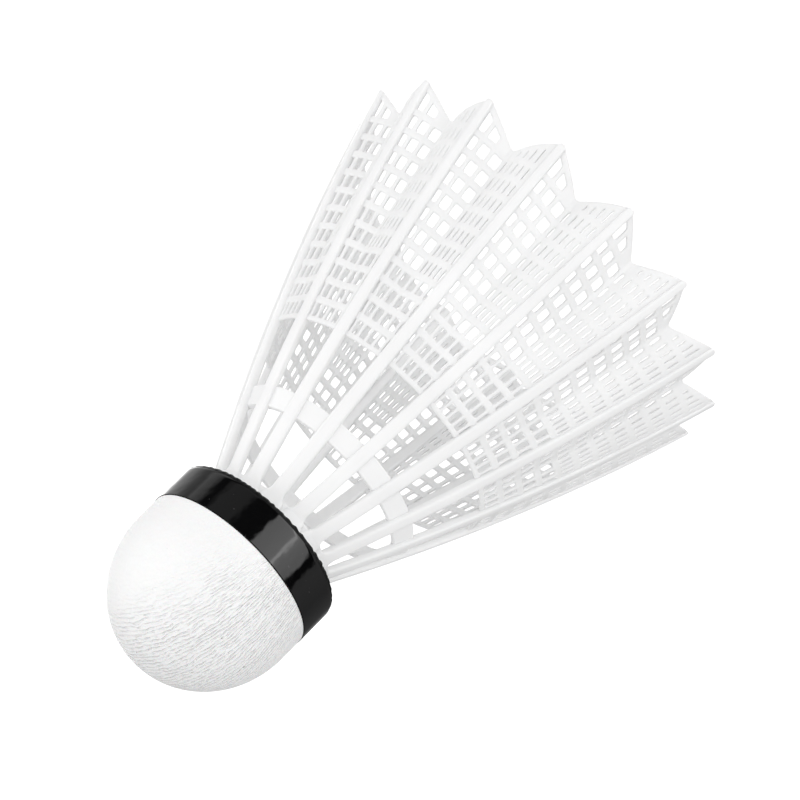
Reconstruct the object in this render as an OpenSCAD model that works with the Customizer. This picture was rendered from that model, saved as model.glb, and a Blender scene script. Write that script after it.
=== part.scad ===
// Badminton shuttlecock with a moulded nylon skirt, standing on the points of its rim, head up.
// The origin is the centre of the circle of points; the axis of symmetry is +Z.

/* [Head] */
// Diameter of the head over the tape band
head_d = 27; // [26.5:0.1:28]
// Length of the head from its flat back to its nose
head_len = 24.2; // [22:0.1:26]
// Length of the rounded nose, from its tip to where the side is straight
nose_len = 14.3; // [12.5:0.1:15]
// Radius of the rounded edge at the back of the head
back_round = 1.2; // [0.8:0.1:2]
// Thickness of the synthetic-leather cover
cover_t = 0.5; // [0.3:0.1:0.8]
// Width of the black tape band
band_w = 6.3; // [5:0.1:7]
// Thickness of the tape band
band_t = 0.2; // [0.1:0.05:0.4]

/* [Plug] */
// Diameter of the plug that is glued into the core
plug_d = 17; // [14:0.5:18]
// Depth of the plug inside the core
plug_len = 8; // [6:0.5:10]
// Wall thickness of the hollow plug
plug_wall = 1.3; // [1:0.1:2]
// Thickness of the adhesive round the plug
glue_t = 0.2; // [0.1:0.05:0.3]
// Diameter of the flange that sits on the back of the head
flange_d = 23; // [22:0.5:24]

/* [Skirt] */
// Diameter of the circle through the points of the rim
rim_d = 65; // [62:0.5:68]
// Height of the skirt from the points to the collar
skirt_h = 56; // [52:0.5:60]
// Outer diameter of the collar where the stems grow out of it
root_d = 21.2; // [20.5:0.1:22]
// How far the skirt's side bulges out from a straight cone
bulge = 1.4; // [0.5:0.1:2]
// Height of the mesh part of the skirt
mesh_h = 35.3; // [33:0.1:37]
// Depth of the pleats at the rim
pleat_depth = 3.1; // [2:0.1:3.6]
// Height of the points above the notches between them
tooth_h = 3.2; // [2.5:0.1:4]
// Thickness of the mesh
sheet_t = 0.55; // [0.5:0.05:0.9]

/* [Stems and hoop] */
// Width of a stem at the collar
stem_root_w = 2.2; // [1.8:0.1:2.6]
// Width of a stem at its point
stem_tip_w = 1.3; // [1:0.1:1.6]
// Height at which the hoop starts
hoop_z = 44.2; // [42:0.1:46]
// Width of the hoop
hoop_w = 2.8; // [2:0.1:4]
// Thickness of the hoop
hoop_t = 0.9; // [0.7:0.1:1.2]

/* [Mesh] */
// Rows of holes in each panel
hole_rows = 12; // [10:1:12]
// Distance between rows of holes
row_pitch = 2.78; // [2.6:0.01:2.8]
// Height of a hole
hole_h = 1.72; // [1.4:0.01:1.9]
// Rows beside the hoop that have wide holes on both facets of the pleat
plain_rows = 4; // [0:1:8]
// Width of a strand, in degrees round the axis
strand_a = 1; // [0.8:0.05:1.2]
// Width of the plain border along the teeth
border = 1.1; // [0.9:0.1:1.4]

/* [Hidden] */
stem_n = 16;
pitch = 360 / stem_n;
valley_a = pitch / 2;
wide_step = pitch / 6;
fine_step = pitch / 12;
dense_curve = 2;
open_curve = 1.1;

cover_r = head_d / 2 - band_t;
core_r = cover_r - cover_t;
back_z = skirt_h + 2.3;
core_z = back_z + cover_t;
nose_z = back_z + head_len;
round_z = back_z + back_round;
round_x = cover_r - back_round;

flange_t = 0.9;
collar_rim = 1.6;
collar_recess = 0.8;
collar_floor_t = 1.2;

rim_proud = 0.3;
mesh_top_proud = 0.55;
proud_rate = (mesh_top_proud - rim_proud) / mesh_h;
stem_back = 0.2;
root_flare_h = 1.4;
root_flare_w = 0.7;
stem_rings = [0, 2.5, 8, 15, 22, 29, 36, 43, 50, skirt_h - root_flare_h, skirt_h];
hoop_inset = 0.7;
hoop_notch = 1;
panel_rows = 5;
panel_shares = [0, 0.14, 0.26, 0.38, 0.5, 0.75, 1];
first_row_gap = 1.6;
stem_margin = 0.15;
min_hole_w = 0.3;
min_hole_h = 0.2;
cut = 3;
tip_flat = 0.045;
fine = 96;

function two_digits(i) = i < 10 ? str("0", i) : str(i);
function stem_name(i) = str("stem_", two_digits(i));
function panel_name(i) = str("mesh_panel_", two_digits(i));

// ---- Shape of the skirt -------------------------------------------------------------------

// Radius of the stems' outer face at height z
function ridge_r(z) = let (t = z / skirt_h)
    rim_d / 2 + (root_d - rim_d) / 2 * t + 4 * bulge * t * (1 - t);

// Angle between the skirt's side and the axis at height z
function flare(z) = atan(ridge_r(z - 0.5) - ridge_r(z + 0.5));

// How far the stems stand proud of the mesh at height z
function proud(z) = rim_proud + proud_rate * min(z, mesh_h);

// Depth of a stem, from its outer face to its back
function stem_d(z) = proud(z) + sheet_t + stem_back;

// Width of a stem at height z, before it flares into the collar
function stem_w(z) = stem_tip_w + (stem_root_w - stem_tip_w) * z / skirt_h;

// Width with the flare at the root
function flared_w(z) = stem_w(z) + root_flare_w * max(0, 1 - (skirt_h - z) / root_flare_h);

// Angle round the axis from a stem's middle to its side
function side_a(z) = atan(stem_w(z) / 2 / (ridge_r(z) - proud(z)));

// Share of the pleat's depth at angle a from the stem before it: the first facet is arched,
// the second nearly flat
function pleat_share(a) = a < valley_a
    ? pow(a / valley_a, dense_curve)
    : pow((pitch - a) / valley_a, open_curve);

function pleat(z) = pleat_depth * max(0, 1 - z / mesh_h);

// Radius of the mesh's outer face
function mesh_r(a, z) = ridge_r(z) - proud(z) - pleat(z) * pleat_share(a);

// Turn of the mesh's face about the vertical, against a plain cone
function mesh_turn(a, z) = let (d = 0.4)
    atan((mesh_r(a - d, z) - mesh_r(a + d, z)) / (mesh_r(a, z) * 2 * d * PI / 180));

// Height of the toothed edge at angle a from the stem before it, with a small flat at each point
function edge_z(a) = let (share = 1 - abs(1 - a / valley_a))
    tooth_h * max(0, share - tip_flat) / (1 - tip_flat);

function polar(r, a, z) = [r * cos(a), r * sin(a), z];

// Point p turned by angle a round the axis
function turned(p, a) = [p[0] * cos(a) - p[1] * sin(a), p[0] * sin(a) + p[1] * cos(a), p[2]];

// Height of the middle of a row of holes, counted from the hoop
function row_z(row) = mesh_h - first_row_gap - row * row_pitch;

// Triangles of a quad, seen clockwise from outside
function quad(a, b, c, d) = [[a, b, c], [a, c, d]];

// ---- Head -----------------------------------------------------------------------------------

// Half profile of the head at radius r, with a round nose and a rounded back edge
module head_profile(r) {
    dome_z = nose_z - nose_len;
    edge_r = r - round_x;
    intersection() {
        translate([0, round_z - edge_r]) square([r, 2 * head_len]);
        union() {
            translate([0, dome_z]) scale([r, nose_len - cover_r + r]) circle(1, $fn = fine);
            translate([0, round_z]) square([r, dome_z - round_z]);
            translate([round_x, round_z]) circle(edge_r, $fn = fine);
            translate([0, round_z - edge_r]) square([round_x, edge_r]);
        }
    }
}

module base_core() {
    color("burlywood")
    difference() {
        rotate_extrude($fn = fine) head_profile(core_r);
        translate([0, 0, core_z - 1])
            cylinder(d = plug_d + 2 * glue_t, h = plug_len + glue_t + 1, $fn = fine);
    }
}

module base_cover() {
    color("whitesmoke")
    rotate_extrude($fn = fine)
    difference() {
        head_profile(cover_r);
        head_profile(core_r);
        translate([0, back_z - 1]) square([flange_d / 2, cover_t + 1]);
    }
}

module band() {
    color([0.04, 0.04, 0.045])
    rotate_extrude($fn = fine)
    intersection() {
        difference() {
            head_profile(cover_r + band_t);
            head_profile(cover_r);
        }
        translate([round_x, back_z - band_t]) square([back_round + band_t, band_w + band_t]);
    }
}

// ---- Skirt ----------------------------------------------------------------------------------

module glue_layer() {
    color("khaki")
    translate([0, 0, core_z])
    difference() {
        cylinder(d = plug_d + 2 * glue_t, h = plug_len + glue_t, $fn = fine);
        translate([0, 0, -1]) cylinder(d = plug_d, h = plug_len + 1, $fn = fine);
    }
}

// Collar with a recessed floor, flange and hollow plug in one profile
module skirt_collar() {
    plug_r = plug_d / 2;
    bore_r = plug_r - plug_wall;
    flange_z = core_z - flange_t;
    recess_r = root_d / 2 - collar_rim;
    recess_z = skirt_h + collar_recess;
    color("white")
    rotate_extrude($fn = fine)
    polygon([
        [0, recess_z],
        [recess_r, recess_z],
        [recess_r, skirt_h],
        [root_d / 2, skirt_h],
        [ridge_r(flange_z), flange_z],
        [flange_d / 2, flange_z],
        [flange_d / 2, core_z],
        [plug_r, core_z],
        [plug_r, core_z + plug_len],
        [bore_r, core_z + plug_len],
        [bore_r, recess_z + collar_floor_t],
        [0, recess_z + collar_floor_t]
    ]);
}

// Conical ring that lies inside the stems' outer faces; extra makes it thicker inward
module hoop_ring(extra = 0) {
    top_z = hoop_z + hoop_w;
    low_r = ridge_r(hoop_z) - hoop_inset;
    top_r = ridge_r(top_z) - hoop_inset;
    thick = hoop_t + extra;
    rotate_extrude($fn = fine)
    polygon([
        [low_r, hoop_z],
        [top_r, top_z],
        [top_r - thick, top_z],
        [low_r - thick, hoop_z]
    ]);
}

module hoop() {
    color("white") hoop_ring();
}

// Section of a stem: a flat-backed bar with rounded outer corners
function stem_section(w, d) = [
    [-d, -w / 2],
    [-0.4 * w, -w / 2],
    [-0.15 * w, -0.42 * w],
    [0, -0.2 * w],
    [0, 0.2 * w],
    [-0.15 * w, 0.42 * w],
    [-0.4 * w, w / 2],
    [-d, w / 2]
];

module stem_bar() {
    sections = [for (z = stem_rings) stem_section(flared_w(z), stem_d(z))];
    count = len(sections[0]);
    rings = len(stem_rings);
    // The lowest ring follows the slopes of the tooth
    points = [
        for (j = [0 : rings - 1])
        for (p = sections[j])
            let (z = j > 0 ? stem_rings[j] : edge_z(atan(abs(p[1]) / ridge_r(0))))
            [ridge_r(stem_rings[j]) + p[0], p[1], z]
    ];
    sides = [
        for (j = [0 : rings - 2])
        for (i = [0 : count - 1])
            let (n = (i + 1) % count, a = j * count, b = (j + 1) * count)
            each quad(a + i, b + i, b + n, a + n)
    ];
    low_cap = [for (i = [0 : 2]) each quad(i, i + 1, count - 2 - i, count - 1 - i)];
    top_cap = [[for (i = [0 : count - 1]) (rings - 1) * count + count - 1 - i]];
    polyhedron(points, concat(sides, low_cap, top_cap));
}

module stem(i) {
    color("white")
    rotate([0, 0, (i - 1) * pitch])
    difference() {
        stem_bar();
        hoop_ring(hoop_notch);
    }
}

// Pleated sheet from the side of one stem to the side of the next
module panel_sheet() {
    across = len(panel_shares);
    panel_cols = across - 1;
    layer = across * (panel_rows + 1);
    grid = [
        for (inset = [0, sheet_t])
        for (j = [0 : panel_rows])
        for (u = panel_shares)
            let (
                low_z = edge_z(side_a(0) + u * (pitch - 2 * side_a(0))),
                z = mesh_h + (low_z - mesh_h) * j / panel_rows,
                flank = ridge_r(z) - proud(z) - inset
            )
            u == 0 ? [flank, stem_w(z) / 2, z]
            : u == 1 ? turned([flank, -stem_w(z) / 2, z], pitch)
            : polar(mesh_r(u * pitch, z) - inset, side_a(z) + u * (pitch - 2 * side_a(z)), z)
    ];
    outer = [
        for (j = [0 : panel_rows - 1])
        for (i = [0 : panel_cols - 1])
            let (a = j * across + i)
            each quad(a, a + 1, a + across + 1, a + across)
    ];
    inner = [for (f = outer) [layer + f[2], layer + f[1], layer + f[0]]];
    ends = [
        for (i = [0 : panel_cols - 1])
            let (b = panel_rows * across + i)
            each concat(
                quad(i, layer + i, layer + i + 1, i + 1),
                quad(b, b + 1, layer + b + 1, layer + b)
            )
    ];
    flanks = [
        for (j = [0 : panel_rows - 1])
            let (a = j * across, b = a + panel_cols)
            each concat(
                quad(a, a + across, layer + a + across, layer + a),
                quad(b, layer + b, layer + b + across, b + across)
            )
    ];
    polyhedron(grid, concat(outer, inner, ends, flanks));
}

// One hole between angles a0 and a1; its rim side follows the tooth in the last row
module hole(a0, a1, row) {
    mid_a = (a0 + a1) / 2;
    mid_z = row_z(row);
    half = (a1 - a0) / 2;
    turn = mesh_turn(mid_a, mid_z);
    tangent = mesh_r(mid_a, mid_z) * PI / 180 / cos(turn);
    slope = 1 / cos(flare(mid_z));
    top = hole_h / 2 * slope;
    low0 = row < hole_rows - 1 ? -top : (edge_z(a0) + border - mid_z) * slope;
    low1 = row < hole_rows - 1 ? -top : (edge_z(a1) + border - mid_z) * slope;
    if (a1 - a0 > min_hole_w && max(low0, low1) < top - min_hole_h)
        translate(polar(mesh_r(mid_a, mid_z), mid_a, mid_z))
        rotate([0, 0, mid_a + turn])
        rotate([0, -flare(mid_z), 0])
        rotate([90, 0, 90])
        linear_extrude(cut, center = true)
        polygon([
            [-half * tangent, low0],
            [half * tangent, low1],
            [half * tangent, top],
            [-half * tangent, top]
        ]);
}

// Holes of one row, from start to stop, with a strand at each multiple of step
module hole_run(row, start, stop, step) {
    edge_a = side_a(row_z(row)) + stem_margin;
    for (k = [0 : round((stop - start) / step) - 1]) {
        left = start + k * step + strand_a / 2;
        right = start + (k + 1) * step - strand_a / 2;
        hole(max(left, edge_a), min(right, pitch - edge_a), row);
    }
}

module mesh_panel(i) {
    color("white")
    rotate([0, 0, (i - 1) * pitch])
    difference() {
        panel_sheet();
        for (row = [0 : hole_rows - 1]) {
            hole_run(row, 0, valley_a, row < plain_rows ? wide_step : fine_step);
            hole_run(row, valley_a, pitch, wide_step);
        }
    }
}

base_core();
base_cover();
band();
glue_layer();
skirt_collar();
hoop();
for (i = [1 : stem_n])
    stem(i);
for (i = [1 : stem_n])
    mesh_panel(i);
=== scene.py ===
import math
import bmesh
import bpy
import numpy as np
from mathutils import Matrix, Vector


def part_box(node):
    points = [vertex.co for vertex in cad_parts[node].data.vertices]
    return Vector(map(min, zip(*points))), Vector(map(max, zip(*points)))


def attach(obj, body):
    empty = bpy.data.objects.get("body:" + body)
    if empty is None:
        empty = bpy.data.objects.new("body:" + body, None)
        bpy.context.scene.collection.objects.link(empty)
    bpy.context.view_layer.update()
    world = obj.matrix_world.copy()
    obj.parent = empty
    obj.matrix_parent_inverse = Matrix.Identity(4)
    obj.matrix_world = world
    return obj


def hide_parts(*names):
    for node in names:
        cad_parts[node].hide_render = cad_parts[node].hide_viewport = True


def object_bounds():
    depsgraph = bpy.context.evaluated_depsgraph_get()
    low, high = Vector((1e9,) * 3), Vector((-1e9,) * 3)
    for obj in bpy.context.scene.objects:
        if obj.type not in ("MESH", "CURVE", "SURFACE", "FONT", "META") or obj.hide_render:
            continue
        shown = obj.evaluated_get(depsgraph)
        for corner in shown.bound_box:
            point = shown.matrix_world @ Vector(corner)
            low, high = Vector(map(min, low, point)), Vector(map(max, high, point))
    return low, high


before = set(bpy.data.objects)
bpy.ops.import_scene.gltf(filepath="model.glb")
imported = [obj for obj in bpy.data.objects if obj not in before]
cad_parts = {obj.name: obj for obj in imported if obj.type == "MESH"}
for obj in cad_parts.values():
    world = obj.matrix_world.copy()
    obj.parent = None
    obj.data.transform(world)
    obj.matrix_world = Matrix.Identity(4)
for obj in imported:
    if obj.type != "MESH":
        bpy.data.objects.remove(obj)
cad_lo, cad_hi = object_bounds()
scene = bpy.context.scene
MM = 0.001

# ---------------------------------------------------------------- camera
cam_data = bpy.data.cameras.new("camera")
cam = bpy.data.objects.new("camera", cam_data)
scene.collection.objects.link(cam)
scene.camera = cam
cam_data.sensor_width = 36
cam_data.lens = 195.8
cam_data.clip_start = 0.01
cam_data.clip_end = 20
right = Vector((0.3729, -0.6650, -0.6471)).normalized()
back = Vector((0.9084, 0.1193, 0.4008)).normalized()
up = back.cross(right).normalized()
right = up.cross(back)
turn = Matrix((right, up, back)).transposed().to_4x4()
cam.matrix_world = Matrix.Translation((0.5407, 0.0708, 0.2679)) @ turn

# ---------------------------------------------------------------- sizes, in mm, from the frame
STEMS = 16
PITCH = 360 / STEMS
VALLEY = PITCH / 2
FINE = PITCH / 12


def box_mm(node):
    lo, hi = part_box(node)
    return np.array(lo) / MM, np.array(hi) / MM


rim_r = box_mm("stem_01")[1][0]
stem_top = box_mm("stem_01")[1][2]
mesh_top = box_mm("mesh_panel_01")[1][2]
hoop_lo, hoop_hi = box_mm("hoop")
band_hi = box_mm("band")[1]
cover_lo, cover_hi = box_mm("base_cover")
collar_hi = box_mm("skirt_collar")[1]
nose_z = cover_hi[2]
cover_r = cover_hi[0]
flange_r = collar_hi[0]
root_r = 10.6
bulge = 1.4
pleat_depth = 3.1
tooth_h = 3.2
sheet_t = 0.55
rim_proud, top_proud = 0.3, 0.55
tip_w, flare = 1.3, 0.9
tip_flat = 0.045


def ridge_r(z):
    """Radius of a stem's outside at height z."""
    t = np.asarray(z) / stem_top
    return rim_r + (root_r - rim_r) * t + 4 * bulge * t * (1 - t)


def proud(z):
    """How far the stem stands out from the web beside it."""
    return rim_proud + (top_proud - rim_proud) * np.minimum(z, mesh_top) / mesh_top


def stem_w(z):
    """Width of a stem."""
    return tip_w + flare * np.asarray(z) / stem_top


def side_a(z):
    """Angle in degrees from a stem's middle to its side."""
    return np.degrees(np.arctan(stem_w(z) / 2 / (ridge_r(z) - proud(z))))


def edge_z(a):
    """Height of the toothed rim at the angle a from a stem."""
    share = 1 - np.abs(1 - np.asarray(a) / VALLEY)
    return tooth_h * np.maximum(0, share - tip_flat) / (1 - tip_flat)


def pleat_share(a):
    """How deep the pleat is at the angle a: an arched facet up to the valley, then a nearly flat one."""
    a = np.asarray(a, float)
    first = (np.clip(a, 0, VALLEY) / VALLEY) ** 2.1
    second = (np.clip(PITCH - a, 0, VALLEY) / VALLEY) ** 1.1
    return np.where(a < VALLEY, first, second)


def mesh_r(a, z):
    """Radius of the web's outside."""
    depth = pleat_depth * np.clip(1 - np.asarray(z) / mesh_top, 0, 1)
    return ridge_r(z) - proud(z) - depth * pleat_share(a)


def polar(r, a, z):
    """Points from radius, angle in degrees and height."""
    a = np.radians(a)
    return np.stack([r * np.cos(a), r * np.sin(a), np.broadcast_to(z, np.shape(r))], -1)


# ---------------------------------------------------------------- small helpers
def new_object(name, points, faces, smooth=True):
    mesh = bpy.data.meshes.new(name)
    mesh.from_pydata((np.asarray(points) * MM).tolist(), [], faces)
    mesh.validate()
    if smooth:
        mesh.polygons.foreach_set("use_smooth", [True] * len(mesh.polygons))
    mesh.update()
    obj = bpy.data.objects.new(name, mesh)
    scene.collection.objects.link(obj)
    return obj


def outward(obj):
    """Turns every face of a closed mesh to look outward."""
    bm = bmesh.new()
    bm.from_mesh(obj.data)
    bmesh.ops.recalc_face_normals(bm, faces=bm.faces)
    bm.to_mesh(obj.data)
    bm.free()


def weighted(obj, angle=40):
    obj.data.set_sharp_from_angle(angle=math.radians(angle))
    mod = obj.modifiers.new("normals", "WEIGHTED_NORMAL")
    mod.keep_sharp = True
    mod.weight = 60


def place(obj, slot, *nodes):
    """Puts a piece on the body in place of its CAD nodes; the slot is not used."""
    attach(obj, "root")
    if nodes:
        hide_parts(*nodes)
    return obj


def fillet(points, radii, steps=6):
    """Rounds the corners of a closed profile."""
    out = []
    n = len(points)
    for i, r in enumerate(radii):
        p = np.array(points[i], float)
        a = np.array(points[i - 1], float) - p
        b = np.array(points[(i + 1) % n], float) - p
        la, lb = np.linalg.norm(a), np.linalg.norm(b)
        if r <= 0 or la == 0 or lb == 0:
            out.append(p)
            continue
        a, b = a / la, b / lb
        half = math.acos(max(-1, min(1, float(a @ b)))) / 2
        reach = min(r / math.tan(half), la * 0.49, lb * 0.49)
        r = reach * math.tan(half)
        mid = (a + b) / np.linalg.norm(a + b)
        centre = p + mid * r / math.sin(half)
        v0, v1 = p + a * reach - centre, p + b * reach - centre
        t0 = math.atan2(v0[1], v0[0])
        dt = (math.atan2(v1[1], v1[0]) - t0 + math.pi) % (2 * math.pi) - math.pi
        for k in range(steps + 1):
            t = t0 + dt * k / steps
            out.append(centre + r * np.array([math.cos(t), math.sin(t)]))
    return out


def revolve(name, profile, segments=160, wobble=None, closed=True):
    """A ring of the closed profile, or a cap where the profile starts and ends on the axis."""
    profile = np.array(profile)
    angles = np.arange(segments) * 2 * np.pi / segments
    points, ring_of = [], []
    for i, (r, z) in enumerate(profile):
        if r < 1e-6:
            ring_of.append([len(points)] * segments)
            points.append((0, 0, z))
            continue
        start = len(points)
        ring_of.append(list(range(start, start + segments)))
        for k, a in enumerate(angles):
            dr, dz = wobble(i, a) if wobble else (0, 0)
            points.append(((r + dr) * math.cos(a), (r + dr) * math.sin(a), z + dz))
    faces = []
    count = len(profile)
    for i in range(count if closed else count - 1):
        lo, hi = ring_of[i], ring_of[(i + 1) % count]
        for k in range(segments):
            n = (k + 1) % segments
            face = []
            for v in (lo[k], lo[n], hi[n], hi[k]):
                if v not in face:
                    face.append(v)
            if len(face) > 2:
                faces.append(face)
    obj = new_object(name, points, faces)
    outward(obj)
    return obj


# ---------------------------------------------------------------- materials
def material(name):
    mat = bpy.data.materials.new(name)
    mat.use_nodes = True
    nodes, links = mat.node_tree.nodes, mat.node_tree.links
    shader = nodes["Principled BSDF"]
    return mat, nodes, links, shader


def coords(nodes, links, scale=(1, 1, 1), rotation=(0, 0, 0), kind="POINT"):
    """Object coordinates, scaled; the kind TEXTURE turns them first and divides by the scale."""
    tex = nodes.new("ShaderNodeTexCoord")
    mapping = nodes.new("ShaderNodeMapping")
    mapping.vector_type = kind
    mapping.inputs["Scale"].default_value = scale
    mapping.inputs["Rotation"].default_value = rotation
    links.new(tex.outputs["Object"], mapping.inputs["Vector"])
    return mapping.outputs["Vector"]


def noise(nodes, links, vector, scale, detail=3, rough=0.5, distortion=0):
    n = nodes.new("ShaderNodeTexNoise")
    n.inputs["Scale"].default_value = scale
    n.inputs["Detail"].default_value = detail
    n.inputs["Roughness"].default_value = rough
    n.inputs["Distortion"].default_value = distortion
    links.new(vector, n.inputs["Vector"])
    return n.outputs["Fac"]


def ramp(nodes, links, fac, stops):
    r = nodes.new("ShaderNodeValToRGB")
    while len(r.color_ramp.elements) < len(stops):
        r.color_ramp.elements.new(0.5)
    for element, (pos, colour) in zip(r.color_ramp.elements, stops):
        element.position = pos
        element.color = (*colour, 1) if len(colour) == 3 else colour
    links.new(fac, r.inputs["Fac"])
    return r.outputs["Color"]


def spread(nodes, links, fac, low, high, start=0.35, end=0.65):
    """Maps start to low and end to high, and holds those beyond."""
    m = nodes.new("ShaderNodeMapRange")
    m.inputs["From Min"].default_value = start
    m.inputs["From Max"].default_value = end
    m.inputs["To Min"].default_value = low
    m.inputs["To Max"].default_value = high
    links.new(fac, m.inputs["Value"])
    return m.outputs["Result"]


def bump(nodes, links, height, strength, distance, normal=None):
    b = nodes.new("ShaderNodeBump")
    b.inputs["Strength"].default_value = strength
    b.inputs["Distance"].default_value = distance
    links.new(height, b.inputs["Height"])
    if normal is not None:
        links.new(normal, b.inputs["Normal"])
    return b.outputs["Normal"]


def nylon(name, tint, subsurface, rough):
    """Moulded white nylon: faint flow streaks along the axis, satin gloss that varies."""
    mat, nodes, links, shader = material(name)
    flow = noise(nodes, links, coords(nodes, links, (1, 1, 0.25)), 450, 3, 0.55, 0.4)
    cloud = noise(nodes, links, coords(nodes, links), 90, 2)
    shade = tuple(c * 0.955 for c in tint)
    links.new(ramp(nodes, links, cloud, [(0.35, shade), (0.62, tint)]), shader.inputs["Base Color"])
    links.new(spread(nodes, links, flow, rough - 0.07, rough + 0.09), shader.inputs["Roughness"])
    grain = noise(nodes, links, coords(nodes, links), 5200, 2)
    normal = bump(nodes, links, flow, 0.25, 0.00006)
    links.new(bump(nodes, links, grain, 0.12, 0.00002, normal), shader.inputs["Normal"])
    shader.inputs["IOR"].default_value = 1.53
    shader.inputs["Subsurface Weight"].default_value = subsurface
    shader.inputs["Subsurface Radius"].default_value = (1.0, 0.97, 0.92)
    shader.inputs["Subsurface Scale"].default_value = 0.0012
    return mat


def maths(nodes, links, operation, *values):
    m = nodes.new("ShaderNodeMath")
    m.operation = operation
    for socket, value in zip(m.inputs, values):
        if isinstance(value, (int, float)):
            socket.default_value = value
        else:
            links.new(value, socket)
    return m.outputs[0]


def bands(nodes, links, vector, period, distortion, detail):
    """Wavy parallel lines across the vector's x, 0 to 1."""
    w = nodes.new("ShaderNodeTexWave")
    w.inputs["Scale"].default_value = 2 * math.pi / 20 / period
    w.inputs["Distortion"].default_value = distortion
    w.inputs["Detail"].default_value = detail
    w.inputs["Detail Scale"].default_value = 1.1
    w.inputs["Detail Roughness"].default_value = 0.6
    links.new(vector, w.inputs["Vector"])
    return w.outputs["Fac"]


def skin():
    """White synthetic leather: fine creases that run one way, strongest on one side, and pores; the creases
    are also darkened in the colour as painted shade.
    """
    mat, nodes, links, shader = material("head_skin")
    # the creases lie in planes that fan out from a level line 4 cm up, across the direction of 76 degrees
    turned = nodes.new("ShaderNodeSeparateXYZ")
    turned_by = (0, 0, math.radians(76))
    links.new(coords(nodes, links, (1, 2.1, 2.1), turned_by, "TEXTURE"), turned.inputs["Vector"])
    rise = maths(nodes, links, "MULTIPLY_ADD", turned.outputs["Z"], 2.1, -0.04)
    fan = maths(nodes, links, "MULTIPLY", maths(nodes, links, "ARCTAN2", turned.outputs["X"], rise), 0.032)
    flow = nodes.new("ShaderNodeCombineXYZ")
    links.new(fan, flow.inputs["X"])
    links.new(turned.outputs["Y"], flow.inputs["Y"])
    links.new(turned.outputs["Z"], flow.inputs["Z"])
    lines = bands(nodes, links, flow.outputs["Vector"], 0.00044, 7.5, 3)
    lines = spread(nodes, links, lines, 0, 1, 0.4, 1.0)
    broken = noise(nodes, links, flow.outputs["Vector"], 2200, 1, 0.5, 0.3)
    broken = spread(nodes, links, broken, 0.4, 1, 0.38, 0.54)
    creases = maths(nodes, links, "MULTIPLY", lines, broken)
    tex = nodes.new("ShaderNodeTexCoord")
    creased = nodes.new("ShaderNodeVectorMath")
    creased.operation = "DOT_PRODUCT"
    creased.inputs[1].default_value = (0, -0.958, 0.287)
    links.new(tex.outputs["Object"], creased.inputs[0])
    patch = noise(nodes, links, coords(nodes, links), 110, 2)
    side = maths(nodes, links, "MULTIPLY_ADD", patch, 0.012, creased.outputs["Value"])
    mask = maths(nodes, links, "MULTIPLY", spread(nodes, links, side, 0.1, 1.0, 0.0205, 0.0285),
                 spread(nodes, links, turned.outputs["X"], 0.1, 1.0, -0.0128, -0.0095))
    height = maths(nodes, links, "MULTIPLY", creases, mask)
    pores = noise(nodes, links, coords(nodes, links), 2000, 3, 0.7)
    dust = noise(nodes, links, coords(nodes, links), 1500, 0)
    # painted shade: the creases darken the base colour, on top of the pores' own random tone
    shade = maths(nodes, links, "MULTIPLY_ADD", pores, 0.35, maths(nodes, links, "MULTIPLY", height, -0.25))
    crease_shaded_white = ramp(nodes, links, shade, [(0.0, (0.91, 0.91, 0.91)), (0.2, (0.955, 0.955, 0.955))])
    speck = nodes.new("ShaderNodeMix")
    speck.data_type = "RGBA"
    links.new(spread(nodes, links, dust, 1, 0, 0.105, 0.12), speck.inputs["Factor"])
    links.new(crease_shaded_white, speck.inputs["A"])
    speck.inputs["B"].default_value = (0.45, 0.44, 0.42, 1)
    links.new(speck.outputs["Result"], shader.inputs["Base Color"])
    links.new(spread(nodes, links, patch, 0.5, 0.62), shader.inputs["Roughness"])
    n1 = bump(nodes, links, height, 1.0, -0.00012)
    n2 = bump(nodes, links, pores, 1.0, 0.00012, n1)
    links.new(n2, shader.inputs["Normal"])
    shader.inputs["Sheen Weight"].default_value = 0.1
    shader.inputs["Sheen Roughness"].default_value = 0.4
    shader.inputs["Subsurface Weight"].default_value = 0.05
    shader.inputs["Subsurface Scale"].default_value = 0.0004
    return mat


def tape():
    """Glossy black tape, with slow waves, fine dust and a little haze."""
    mat, nodes, links, shader = material("tape")
    waves = noise(nodes, links, coords(nodes, links, (1, 1, 0.5)), 190, 2, 0.4)
    ripple = noise(nodes, links, coords(nodes, links), 650, 1)
    haze = noise(nodes, links, coords(nodes, links), 900, 3)
    dust = noise(nodes, links, coords(nodes, links), 2600, 1)
    links.new(ramp(nodes, links, dust, [(0.76, (0.0015, 0.0015, 0.0017)), (0.83, (0.05, 0.05, 0.05))]),
              shader.inputs["Base Color"])
    links.new(spread(nodes, links, haze, 0.05, 0.1), shader.inputs["Roughness"])
    slow = bump(nodes, links, waves, 0.3, 0.0004)
    links.new(bump(nodes, links, ripple, 1.0, 0.00003, slow), shader.inputs["Normal"])
    shader.inputs["IOR"].default_value = 1.5
    return mat


def dull_tape():
    """The cut front edge and the crimped fold of the same tape."""
    mat, nodes, links, shader = material("tape_edge")
    crimp = noise(nodes, links, coords(nodes, links), 1100, 3)
    links.new(ramp(nodes, links, crimp, [(0.3, (0.001, 0.001, 0.001)), (0.75, (0.006, 0.006, 0.006))]),
              shader.inputs["Base Color"])
    links.new(spread(nodes, links, crimp, 0.45, 0.65), shader.inputs["Roughness"])
    links.new(bump(nodes, links, crimp, 0.6, 0.00006), shader.inputs["Normal"])
    shader.inputs["Specular IOR Level"].default_value = 0.12
    return mat


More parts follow.
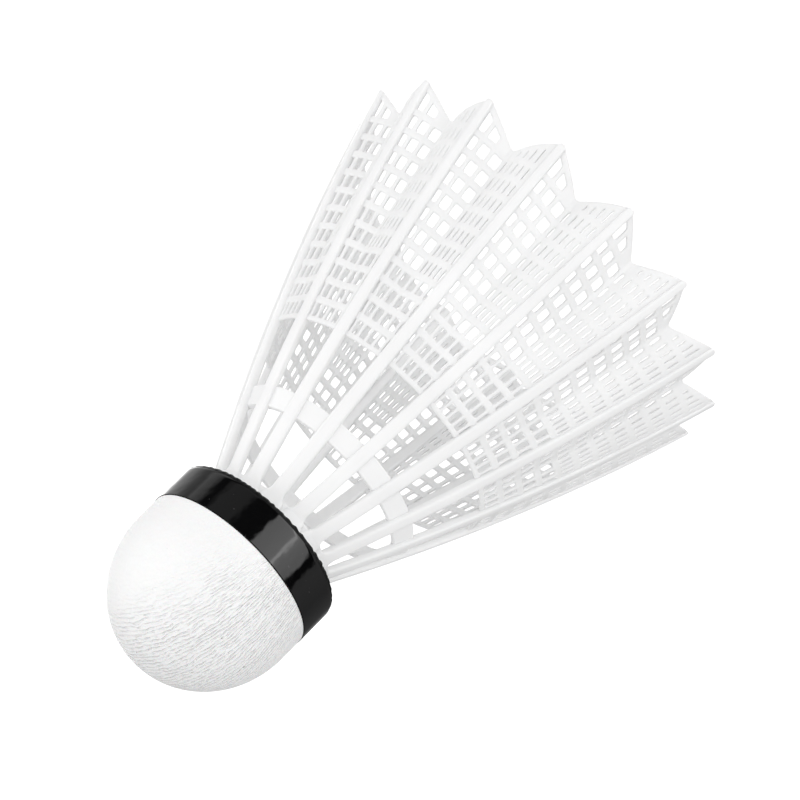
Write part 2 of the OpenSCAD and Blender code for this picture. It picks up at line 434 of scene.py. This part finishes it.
def cork():
    """Pressed brown cork grains."""
    mat, nodes, links, shader = material("cork")
    grains = nodes.new("ShaderNodeTexVoronoi")
    grains.inputs["Scale"].default_value = 900
    links.new(coords(nodes, links), grains.inputs["Vector"])
    browns = [(0.1, (0.58, 0.38, 0.2)), (0.8, (0.3, 0.17, 0.08))]
    links.new(ramp(nodes, links, grains.outputs["Distance"], browns), shader.inputs["Base Color"])
    links.new(bump(nodes, links, grains.outputs["Distance"], 0.4, 0.0001), shader.inputs["Normal"])
    shader.inputs["Roughness"].default_value = 0.85
    return mat


def glue():
    """Cured yellowish glue."""
    mat, nodes, links, shader = material("glue")
    flow = noise(nodes, links, coords(nodes, links), 700, 2)
    links.new(ramp(nodes, links, flow, [(0.3, (0.72, 0.66, 0.48)), (0.7, (0.86, 0.82, 0.66))]),
              shader.inputs["Base Color"])
    links.new(bump(nodes, links, flow, 0.3, 0.0001), shader.inputs["Normal"])
    shader.inputs["Roughness"].default_value = 0.4
    return mat


# the webs use the stems' nylon made greyer (0.905 against 0.937): painted shade, on top of their real
# translucency
nylon_rib = nylon("nylon", (0.937, 0.937, 0.937), 0.25, 0.36)
shaded_web_nylon = nylon("mesh_nylon", (0.905, 0.905, 0.905), 0.35, 0.42)
skin_mat, tape_mat, edge_mat, cork_mat, glue_mat = skin(), tape(), dull_tape(), cork(), glue()

# ---------------------------------------------------------------- mesh webs
ROWS = 12
ROW_PITCH = 2.78
HOLE_H = 1.72
FIRST = 1.6
PLAIN_ROWS = 4
BORDER = 1.1
HALF = 0.59
FINE_HALF = 0.775
MIN_OPENING = 0.28


def row_z(row):
    return mesh_top - FIRST - row * ROW_PITCH


def across(lines, z):
    """Angles of the lines across a panel at height z, kept in order and clear of the stems.

    The first and the last line stay at the middles of the two stems."""
    low = side_a(z) + 0.12
    n = len(lines)
    out = np.array(lines, float)
    wider = (FINE_HALF - HALF) * min(1, max(0, (row_z(PLAIN_ROWS - 1) - z) / 14))
    out[2:12:2] -= wider
    out[3:12:2] += wider
    for i in range(1, n // 2):
        out[i] = max(out[i], low + 0.04 * (i - 1))
        out[n - 1 - i] = min(out[n - 1 - i], PITCH - low - 0.04 * (i - 1))
    return out


def web(index):
    """One pleated web with its holes, from the middle of one stem to the middle of the next."""
    lines = [0, 0.5]
    for k in range(1, 12):
        lines += [k * FINE - HALF, k * FINE + HALF]
    lines += [PITCH - 0.5, PITCH]
    nu = len(lines)
    heights = [lambda a: np.full_like(a, mesh_top)]
    for row in range(ROWS):
        heights.append(lambda a, z=row_z(row) + HOLE_H / 2: np.full_like(a, z))
        if row < ROWS - 1:
            heights.append(lambda a, z=row_z(row) - HOLE_H / 2: np.full_like(a, z))
    last_top = row_z(ROWS - 1) + HOLE_H / 2
    heights.append(lambda a: np.minimum(edge_z(a) + BORDER, (last_top + edge_z(a)) / 2))
    heights.append(lambda a: edge_z(a) + 0.02)
    nv = len(heights)
    A = np.zeros((nv, nu))
    Z = np.zeros((nv, nu))
    for j, h in enumerate(heights):
        guess = float(np.mean(h(np.array(lines, float))))
        A[j] = across(lines, guess)
        Z[j] = h(A[j])
    R = mesh_r(A, Z)
    outer = polar(R, A, Z)
    du = np.gradient(outer, axis=1)
    dv = np.gradient(outer, axis=0)
    normal = np.cross(du, dv)
    normal /= np.linalg.norm(normal, axis=-1, keepdims=True)
    radial = outer * [1, 1, 0]
    flip = np.sign((normal * radial).sum(-1, keepdims=True))
    normal *= flip
    inner = outer - normal * sheet_t
    solid = np.ones((nv - 1, nu - 1), bool)
    for row in range(ROWS):
        j = 2 * row + 1
        fine_here = row >= PLAIN_ROWS
        # column c lies between lines c and c + 1; lines[2k] and lines[2k + 1] are strand k's sides
        strands = [k for k in range(1, 12) if k % 2 == 0 or (fine_here and k < 6)]
        edges = [1] + [c for k in strands for c in (2 * k, 2 * k + 1)] + [nu - 2]
        for c0, c1 in zip(edges[::2], edges[1::2]):
            a0, a1 = A[j + 1, c0], A[j + 1, c1]
            if a1 - a0 < MIN_OPENING:
                continue
            if row == ROWS - 1:
                if max(edge_z(a0), edge_z(a1)) + BORDER > last_top - 0.25:
                    continue
            solid[j, c0:c1] = False
    points = np.concatenate([outer.reshape(-1, 3), inner.reshape(-1, 3)])
    shift = nu * nv
    faces = []

    def at(j, i):
        return j * nu + i

    for j in range(nv - 1):
        for i in range(nu - 1):
            if not solid[j, i]:
                continue
            a, b, c, d = at(j, i), at(j, i + 1), at(j + 1, i + 1), at(j + 1, i)
            faces.append((a, b, c, d))
            faces.append((d + shift, c + shift, b + shift, a + shift))
            sides = (((a, b), (j - 1, i)), ((b, c), (j, i + 1)),
                     ((c, d), (j + 1, i)), ((d, a), (j, i - 1)))
            for (p, q), (jj, ii) in sides:
                if 0 <= jj < nv - 1 and 0 <= ii < nu - 1 and solid[jj, ii]:
                    continue
                faces.append((q, p, p + shift, q + shift))
    used = sorted({v for f in faces for v in f})
    index_of = {v: k for k, v in enumerate(used)}
    points = points[used]
    faces = [tuple(index_of[v] for v in f) for f in faces]
    a = math.radians(index * PITCH)
    spin = np.array([[math.cos(a), -math.sin(a), 0], [math.sin(a), math.cos(a), 0], [0, 0, 1]])
    obj = new_object(f"web_{index + 1:02d}", points @ spin.T, faces)
    outward(obj)
    crease = obj.data.attributes.new("crease_edge", "FLOAT", "EDGE")
    crease.data.foreach_set("value", [0.3] * len(obj.data.edges))
    sub = obj.modifiers.new("round", "SUBSURF")
    sub.levels = sub.render_levels = 2
    obj.data.materials.append(shaded_web_nylon)
    return place(obj, "mesh_nylon", f"mesh_panel_{index + 1:02d}")


# ---------------------------------------------------------------- stems
ROOT_FILLET = 1.1


def rib(index):
    """One stem, from its point on the rim to its flared root in the collar."""
    steps = 20
    theta = (np.arange(steps) + 0.5) * 2 * np.pi / steps
    power = 2 / 3.6
    cx = np.sign(np.cos(theta)) * np.abs(np.cos(theta)) ** power
    cy = np.sign(np.sin(theta)) * np.abs(np.sin(theta)) ** power
    top = stem_top + 1.6
    near_root = np.array([1, 0.85, 0.7, 0.55, 0.4, 0.27, 0.16, 0.08, 0.02])
    zs = np.concatenate([[0, 0.12, 0.35, 0.8], np.linspace(1.8, stem_top - 1.6, 40),
                         stem_top - ROOT_FILLET * near_root + 0.3, [top]])
    rings = []
    for k, z in enumerate(zs):
        shrink = (0.72, 0.93, 1, 1)[k] if k < 4 else 1
        w = float(stem_w(z))
        d = float(proud(z)) + sheet_t + 0.2
        reach = stem_top + 0.3 - z
        if reach < ROOT_FILLET:
            rise = ROOT_FILLET - max(reach, 0)
            w += 2 * (ROOT_FILLET - math.sqrt(max(0, ROOT_FILLET ** 2 - rise ** 2))) * 0.8
        x = float(ridge_r(min(z, stem_top + 0.8))) - d / 2 + cx * d / 2 * shrink
        y = cy * w / 2 * shrink
        low = edge_z(np.degrees(np.arctan(np.abs(y) / rim_r)))
        zz = z + low * max(0, 1 - z / 1.5)
        rings.append(np.stack([x, y, np.broadcast_to(zz, x.shape)], -1))
    points = np.concatenate(rings)
    count = len(rings)
    faces = []
    for j in range(count - 1):
        for i in range(steps):
            n = (i + 1) % steps
            faces.append((j * steps + i, j * steps + n, (j + 1) * steps + n, (j + 1) * steps + i))
    faces.append(tuple(range(steps))[::-1])
    faces.append(tuple((count - 1) * steps + i for i in range(steps)))
    a = math.radians(index * PITCH)
    spin = np.array([[math.cos(a), -math.sin(a), 0], [math.sin(a), math.cos(a), 0], [0, 0, 1]])
    obj = new_object(f"rib_{index + 1:02d}", points @ spin.T, faces)
    outward(obj)
    weighted(obj, 60)
    obj.data.materials.append(nylon_rib)
    return place(obj, "nylon", f"stem_{index + 1:02d}")


for i in range(STEMS):
    web(i)
    rib(i)

# ---------------------------------------------------------------- hoop
z0, z1 = hoop_lo[2], hoop_hi[2]
r0, r1 = float(ridge_r(z0)) - 0.7, float(ridge_r(z1)) - 0.7
profile = fillet([(r0, z0), (r1, z1), (r1 - 0.9, z1), (r0 - 0.9, z0)], [0.22] * 4, 5)
hoop = revolve("hoop_ring", profile, 192)
weighted(hoop, 60)
hoop.data.materials.append(nylon_rib)
place(hoop, "nylon", "hoop")

# ---------------------------------------------------------------- collar
back_z = cover_lo[2]
core_z = back_z + 0.5
flange_z = core_z - 0.9
plug_top = collar_hi[2]
plug_r, plug_bore = 8.5, 7.2
profile = fillet(
    [(0, stem_top + 0.8), (9, stem_top + 0.8), (9, stem_top), (root_r, stem_top),
     (float(ridge_r(flange_z)), flange_z), (flange_r, flange_z), (flange_r, core_z), (plug_r, core_z),
     (plug_r, plug_top), (plug_bore, plug_top), (plug_bore, stem_top + 2), (0, stem_top + 2)],
    [0, 0.35, 0.3, 0.35, 0.5, 0.2, 0.1, 0.1, 0.2, 0.2, 0.3, 0], 5)
collar = revolve("collar_moulding", profile, 192, closed=False)
weighted(collar, 40)
collar.data.materials.append(nylon_rib)
place(collar, "nylon", "skirt_collar")

# ---------------------------------------------------------------- head
nose_len = 14.3
back_round = 1.2
cover_t = 0.5
skin_r = cover_r + 0.12
straight_z = nose_z - nose_len


def head_profile(r, grow, end_r, dome_steps=72, back_steps=8):
    """From the nose down the side and round the back edge, to radius end_r."""
    t = np.linspace(0, np.pi / 2, dome_steps)
    line = [(r * math.sin(x), straight_z + (nose_len + grow) * math.cos(x)) for x in t]
    round_z = back_z + back_round
    line += [(r, z) for z in np.linspace(straight_z, round_z, 8)[1:-1]]
    edge = back_round + grow
    mid_r = skin_r - back_round
    line += [(mid_r + edge * math.cos(x), round_z - edge * math.sin(x))
             for x in np.linspace(0, np.pi / 2, back_steps)]
    line.append((end_r, round_z - edge))
    return line


outer = head_profile(skin_r, 0, flange_r + 0.02)
inner = head_profile(skin_r - cover_t, -cover_t, flange_r + 0.02)
skin_obj = revolve("head_leather", outer + inner[::-1], 256, closed=False)
skin_obj.data.materials.append(skin_mat)
place(skin_obj, "head_skin", "base_cover")

gap = 0.03
socket_r, socket_z = 8.7, plug_top + 0.2
line = head_profile(skin_r - cover_t - gap, -cover_t - gap, socket_r)
cork_back = line[-1][1]
core = revolve("core_cork", line + [(socket_r, socket_z), (0, socket_z)], 128, closed=False)
weighted(core, 40)
core.data.materials.append(cork_mat)
place(core, "cork", "base_core")
bond_in, bond_out, bond_lo = 8.53, 8.67, cork_back + 0.05
line = [(bond_in, bond_lo), (bond_out, bond_lo), (bond_out, plug_top), (bond_in, plug_top)]
bond = revolve("glue_bond", line, 96)
weighted(bond, 40)
bond.data.materials.append(glue_mat)
place(bond, "glue", "glue_layer")

band_top = band_hi[2] + 0.12
band_t = 0.07
band_r = skin_r + band_t
round_z = back_z + back_round
mid_r = skin_r - back_round
edge = back_round + band_t
front_w = 0.16
fold_from = math.radians(20)


def shoulder(r, start, end, steps):
    """Points round the back edge, r from the rounding's centre line."""
    return [(mid_r + r * math.cos(x), round_z - r * math.sin(x)) for x in np.linspace(start, end, steps)]


line = [(band_r, band_top - front_w)]
line += [(band_r, z) for z in np.linspace(band_top - 0.5, round_z, 12)]
line += shoulder(edge, 0, fold_from, 6)[1:]
line += shoulder(back_round, fold_from, 0, 6)
line += [(skin_r, z) for z in np.linspace(round_z, band_top - 0.5, 12)[1:]]
line += [(skin_r, band_top - front_w)]
band = revolve("tape_band", line, 320)
weighted(band, 50)
band.data.materials.append(tape_mat)
place(band, "tape", "band")

front_z = band_top - front_w
line = fillet([(skin_r, front_z), (skin_r, band_top), (band_r, band_top), (band_r, front_z)],
              [0, 0, 0.05, 0], 4)
front = revolve("tape_front", line, 320)
weighted(front, 50)
front.data.materials.append(edge_mat)
place(front, "tape", "band")

outside = shoulder(edge, fold_from, math.pi / 2, 12) + [(mid_r - 0.25, round_z - edge)]
inside = [(mid_r - 0.25, round_z - back_round)] + shoulder(back_round, math.pi / 2, fold_from, 12)
band_rng = np.random.default_rng(7)
waves = [(n, band_rng.normal(), band_rng.uniform(0, 2 * np.pi)) for n in range(24, 100, 3)]


def crimp(i, a):
    """The fold over the back edge is crimped unevenly."""
    if i >= len(outside):
        return 0, 0
    share = min(1, i / 4)
    total = sum(v * math.cos(n * a + p) for n, v, p in waves) / 5
    grow = 0.05 * share * (1 + total)
    x = fold_from + (math.pi / 2 - fold_from) * min(i, 11) / 11
    return grow * math.cos(x), -grow * math.sin(x)


fold = revolve("tape_fold", outside + inside, 480, wobble=crimp)
weighted(fold, 50)
fold.data.materials.append(edge_mat)
place(fold, "tape", "band")

# ---------------------------------------------------------------- floor and light
floor_mesh = bpy.data.meshes.new("floor")
n = 96
ring = [(6 * math.cos(2 * math.pi * k / n), 6 * math.sin(2 * math.pi * k / n), -0.0002) for k in range(n)]
floor_mesh.from_pydata(ring, [], [tuple(range(n))])
floor = bpy.data.objects.new("floor", floor_mesh)
scene.collection.objects.link(floor)
mat, nodes, links, shader = material("floor")
shader.inputs["Base Color"].default_value = (0.85, 0.85, 0.85, 1)
shader.inputs["Roughness"].default_value = 0.9
shader.inputs["Emission Color"].default_value = (1, 1, 1, 1)
shader.inputs["Emission Strength"].default_value = 0.62
floor_mesh.materials.append(mat)
floor.visible_glossy = False
floor.visible_diffuse = False
floor.visible_shadow = False

world = bpy.data.worlds.new("studio")
scene.world = world
world.use_nodes = True
wn, wl = world.node_tree.nodes, world.node_tree.links
# what the gloss reflects: white overhead, and below the horizon soft boxes, flags and a bright backdrop
# in the directions round the axis given here in degrees from the camera's, with their brightness
CARDS = [(-180, 1.5), (-176, 0.35), (-150, 0.12), (-110, 0.2), (-80, 0.4), (-69, 0.42),
         (-67, 0.02), (-56, 0.02), (-54, 1.8), (-38, 2.2), (-33, 2.6), (-31, 4.8), (-28, 4.6),
         (-26, 2.6), (-12, 2.3), (3, 2.1), (5, 0.03), (34, 0.04), (40, 0.3), (68, 0.32), (76, 0.03),
         (84, 0.05), (92, 0.7), (102, 0.9), (108, 0.4), (118, 0.5), (130, 0.8), (143, 0.85),
         (150, 1.2), (158, 2.6), (179, 3)]
CARD_MAX = 5
facing = math.atan2(cam.location.y, cam.location.x)
direction = wn.new("ShaderNodeTexCoord")
split = wn.new("ShaderNodeSeparateXYZ")
turned = wn.new("ShaderNodeMapping")
turned.inputs["Rotation"].default_value = (0, 0, -facing)
wl.new(direction.outputs["Generated"], turned.inputs["Vector"])
wl.new(turned.outputs["Vector"], split.inputs["Vector"])
azimuth = maths(wn, wl, "ARCTAN2", split.outputs["Y"], split.outputs["X"])
part = spread(wn, wl, azimuth, 0, 1, -math.pi, math.pi)
cards = ramp(wn, wl, part, [((a + 180) / 360, (v / CARD_MAX,) * 3) for a, v in CARDS])


def blend(fac, a, b):
    m = wn.new("ShaderNodeMix")
    m.data_type = "RGBA"
    for socket, value in ((m.inputs["Factor"], fac), (m.inputs["A"], a), (m.inputs["B"], b)):
        if isinstance(value, (int, float)):
            socket.default_value = (value, value, value, 1)
        else:
            wl.new(value, socket)
    return m.outputs["Result"]


glossy = blend(spread(wn, wl, split.outputs["Z"], 0, 1, -0.12, 0.1), cards, 0.9 / CARD_MAX)
gloss = wn.new("ShaderNodeBackground")
gloss.inputs["Strength"].default_value = CARD_MAX
wl.new(glossy, gloss.inputs["Color"])
# the even light, brighter from the camera's side than from behind, and a plain white sight of it
soft = wn["Background"]
level = blend(spread(wn, wl, split.outputs["X"], 0, 1, -1, 1), 0.24, 1.24)
wl.new(blend(spread(wn, wl, split.outputs["Z"], 1, 0, -0.7, -0.2), level, 0.8), soft.inputs["Color"])
plain = wn.new("ShaderNodeBackground")
pathinfo = wn.new("ShaderNodeLightPath")
plain.inputs["Color"].default_value = (1, 1, 1, 1)
lit = soft.outputs["Background"]
for ray, shown in (("Is Glossy Ray", gloss), ("Is Camera Ray", plain)):
    mixer = wn.new("ShaderNodeMixShader")
    wl.new(pathinfo.outputs[ray], mixer.inputs["Fac"])
    wl.new(lit, mixer.inputs[1])
    wl.new(shown.outputs["Background"], mixer.inputs[2])
    lit = mixer.outputs["Shader"]
wl.new(lit, wn["World Output"].inputs["Surface"])


def area(name, location, target, size, power):
    data = bpy.data.lights.new(name, "AREA")
    data.shape = "RECTANGLE"
    data.size, data.size_y = size
    data.energy = power
    obj = bpy.data.objects.new(name, data)
    scene.collection.objects.link(obj)
    obj.location = location
    obj.rotation_mode = "QUATERNION"
    obj.rotation_quaternion = (Vector(target) - Vector(location)).to_track_quat("-Z", "Y")
    return obj


middle = (cad_lo + cad_hi) / 2
area("key", (-0.31, 0.82, 0.53), middle, (0.8, 0.8), 2.1)

scene.view_settings.view_transform = "Standard"
scene.view_settings.look = "None"
scene.view_settings.exposure = 0
scene.view_settings.gamma = 1
